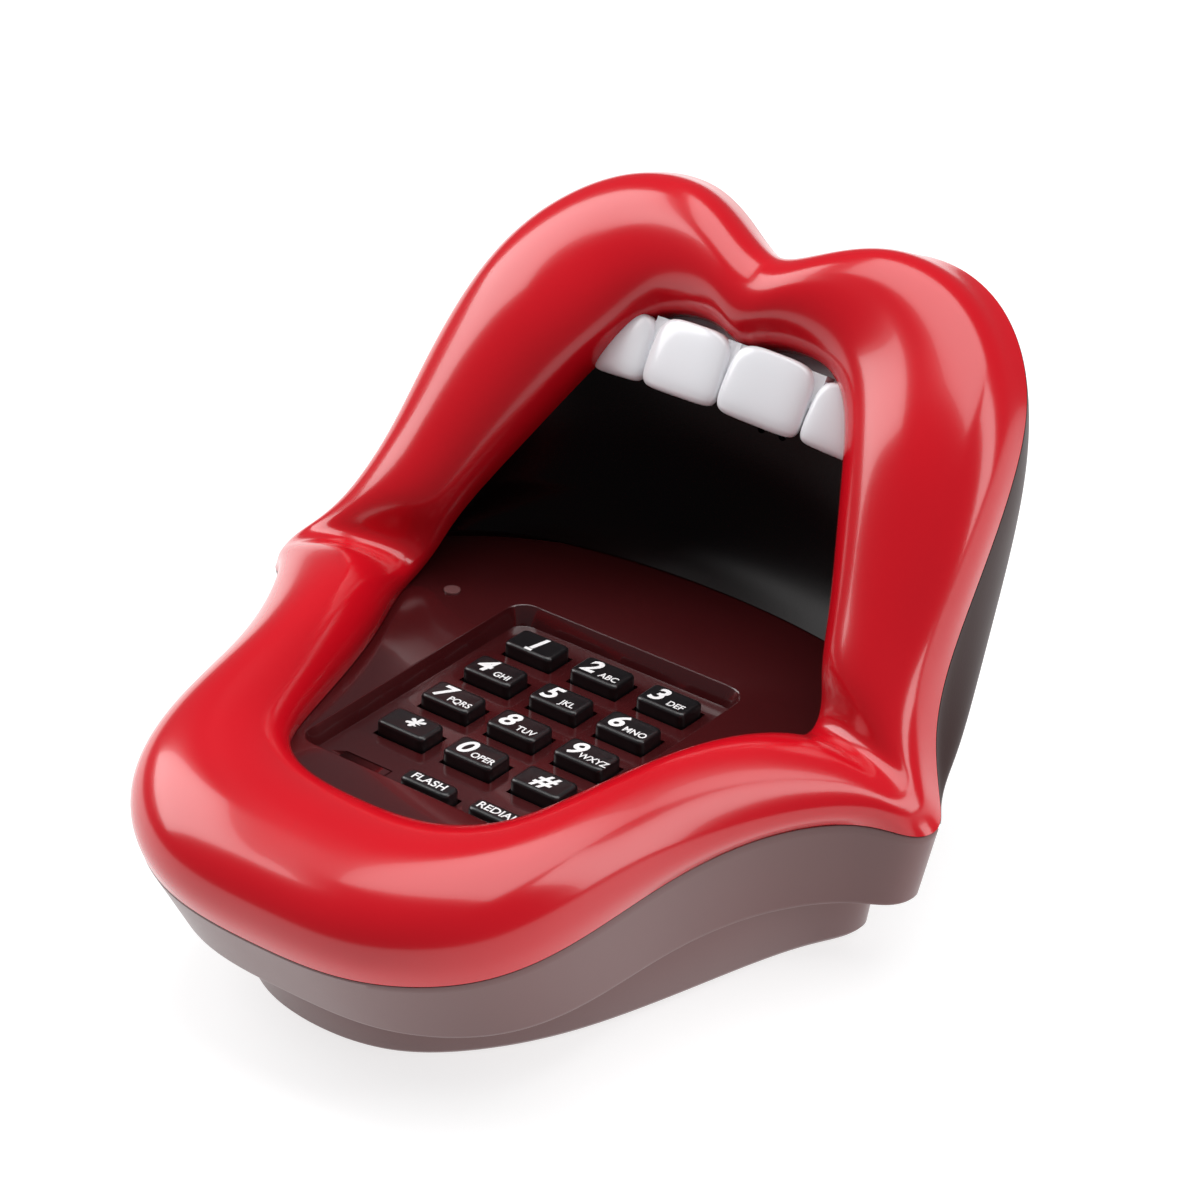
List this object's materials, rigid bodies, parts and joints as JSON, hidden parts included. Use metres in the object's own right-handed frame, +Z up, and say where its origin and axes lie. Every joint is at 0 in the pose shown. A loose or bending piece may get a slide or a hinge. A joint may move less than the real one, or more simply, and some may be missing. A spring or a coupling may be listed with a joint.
{
  "type": "novelty telephone",
  "caption": "Glossy red open-mouth novelty telephone: full lips, white upper teeth, push-button keypad in the lower jaw and a brown casing on a narrower foot.",
  "frame": {"origin": "on the table, under the middle of the phone's bounding box", "axes": "X to the right as seen from the front, Y to the back, Z up; the lower lip and keypad point to -Y"},
  "size_m": [0.1872, 0.212, 0.1285],
  "materials": {
    "red_plastic": "high gloss",
    "brown_plastic": "satin gloss",
    "dark_brown_plastic": "satin gloss",
    "maroon_plastic": "gloss",
    "black_plastic": "high gloss",
    "tooth_plastic": "gloss",
    "key_plastic": "gloss",
    "lens_plastic": "clear",
    "part_plastic": "matt",
    "grey_rubber": "matt",
    "board": "satin",
    "screw_steel": "zinc plated",
    "bare_metal": "satin",
    "brass_sheet": "bright"
  },
  "bodies": {
    "casing": {"lip_ring": "red_plastic", "bottom_shell": "brown_plastic", "back_shell": "dark_brown_plastic", "keypad_plate": "maroon_plastic", "throat_liner": "black_plastic", "upper_teeth": "tooth_plastic", "led_lens": "lens_plastic", "dome_mat": "grey_rubber", "keypad_board": "board", "main_board": "board", "board_screws": "screw_steel", "receiver_capsule": "bare_metal", "receiver_cable": "part_plastic", "microphone_capsule": "bare_metal", "ringer_disc": "brass_sheet", "hook_spring": "screw_steel", "hook_switch": "part_plastic", "ballast_weight": "bare_metal", "line_jack": "part_plastic", "ringer_switch_body": "part_plastic", "tone_switch_body": "part_plastic", "foot_pads": "grey_rubber", "base_screws": "screw_steel", "back_screws": "screw_steel"},
    "key_1_body": {"key_1": "key_plastic"},
    "key_2_body": {"key_2": "key_plastic"},
    "key_3_body": {"key_3": "key_plastic"},
    "key_4_body": {"key_4": "key_plastic"},
    "key_5_body": {"key_5": "key_plastic"},
    "key_6_body": {"key_6": "key_plastic"},
    "key_7_body": {"key_7": "key_plastic"},
    "key_8_body": {"key_8": "key_plastic"},
    "key_9_body": {"key_9": "key_plastic"},
    "key_star_body": {"key_star": "key_plastic"},
    "key_0_body": {"key_0": "key_plastic"},
    "key_hash_body": {"key_hash": "key_plastic"},
    "key_flash_body": {"key_flash": "key_plastic"},
    "key_redial_body": {"key_redial": "key_plastic"},
    "plunger": {"hook_plunger": "part_plastic"},
    "ringer_slider": {"ringer_switch_knob": "part_plastic"},
    "tone_slider": {"tone_switch_knob": "part_plastic"}
  },
  "joints": [
    {"name": "key_1_press", "type": "slide", "parent": "casing", "child": "key_1_body", "axis": [0, -0.068, -0.9977], "range_m": [0, 0.0018], "stiffness_N_per_m": 400, "springref_m": -0.001},
    {"name": "key_2_press", "type": "slide", "parent": "casing", "child": "key_2_body", "axis": [0, -0.068, -0.9977], "range_m": [0, 0.0018], "stiffness_N_per_m": 400, "springref_m": -0.001},
    {"name": "key_3_press", "type": "slide", "parent": "casing", "child": "key_3_body", "axis": [0, -0.068, -0.9977], "range_m": [0, 0.0018], "stiffness_N_per_m": 400, "springref_m": -0.001},
    {"name": "key_4_press", "type": "slide", "parent": "casing", "child": "key_4_body", "axis": [0, -0.068, -0.9977], "range_m": [0, 0.0018], "stiffness_N_per_m": 400, "springref_m": -0.001},
    {"name": "key_5_press", "type": "slide", "parent": "casing", "child": "key_5_body", "axis": [0, -0.068, -0.9977], "range_m": [0, 0.0018], "stiffness_N_per_m": 400, "springref_m": -0.001},
    {"name": "key_6_press", "type": "slide", "parent": "casing", "child": "key_6_body", "axis": [0, -0.068, -0.9977], "range_m": [0, 0.0018], "stiffness_N_per_m": 400, "springref_m": -0.001},
    {"name": "key_7_press", "type": "slide", "parent": "casing", "child": "key_7_body", "axis": [0, -0.068, -0.9977], "range_m": [0, 0.0018], "stiffness_N_per_m": 400, "springref_m": -0.001},
    {"name": "key_8_press", "type": "slide", "parent": "casing", "child": "key_8_body", "axis": [0, -0.068, -0.9977], "range_m": [0, 0.0018], "stiffness_N_per_m": 400, "springref_m": -0.001},
    {"name": "key_9_press", "type": "slide", "parent": "casing", "child": "key_9_body", "axis": [0, -0.068, -0.9977], "range_m": [0, 0.0018], "stiffness_N_per_m": 400, "springref_m": -0.001},
    {"name": "key_star_press", "type": "slide", "parent": "casing", "child": "key_star_body", "axis": [0, -0.068, -0.9977], "range_m": [0, 0.0018], "stiffness_N_per_m": 400, "springref_m": -0.001},
    {"name": "key_0_press", "type": "slide", "parent": "casing", "child": "key_0_body", "axis": [0, -0.068, -0.9977], "range_m": [0, 0.0018], "stiffness_N_per_m": 400, "springref_m": -0.001},
    {"name": "key_hash_press", "type": "slide", "parent": "casing", "child": "key_hash_body", "axis": [0, -0.068, -0.9977], "range_m": [0, 0.0018], "stiffness_N_per_m": 400, "springref_m": -0.001},
    {"name": "key_flash_press", "type": "slide", "parent": "casing", "child": "key_flash_body", "axis": [0, -0.068, -0.9977], "range_m": [0, 0.0018], "stiffness_N_per_m": 400, "springref_m": -0.001},
    {"name": "key_redial_press", "type": "slide", "parent": "casing", "child": "key_redial_body", "axis": [0, -0.068, -0.9977], "range_m": [0, 0.0018], "stiffness_N_per_m": 400, "springref_m": -0.001},
    {"name": "hook_plunger_out", "type": "slide", "parent": "casing", "child": "plunger", "axis": [0, 0, -1], "range_m": [0, 0.003], "stiffness_N_per_m": 150, "springref_m": 0.007, "deforming": ["hook_spring"]},
    {"name": "ringer_switch_slide", "type": "slide", "parent": "casing", "child": "ringer_slider", "axis": [1, 0, 0], "range_m": [0, 0.004]},
    {"name": "tone_switch_slide", "type": "slide", "parent": "casing", "child": "tone_slider", "axis": [1, 0, 0], "range_m": [0, 0.004]}
  ]
}
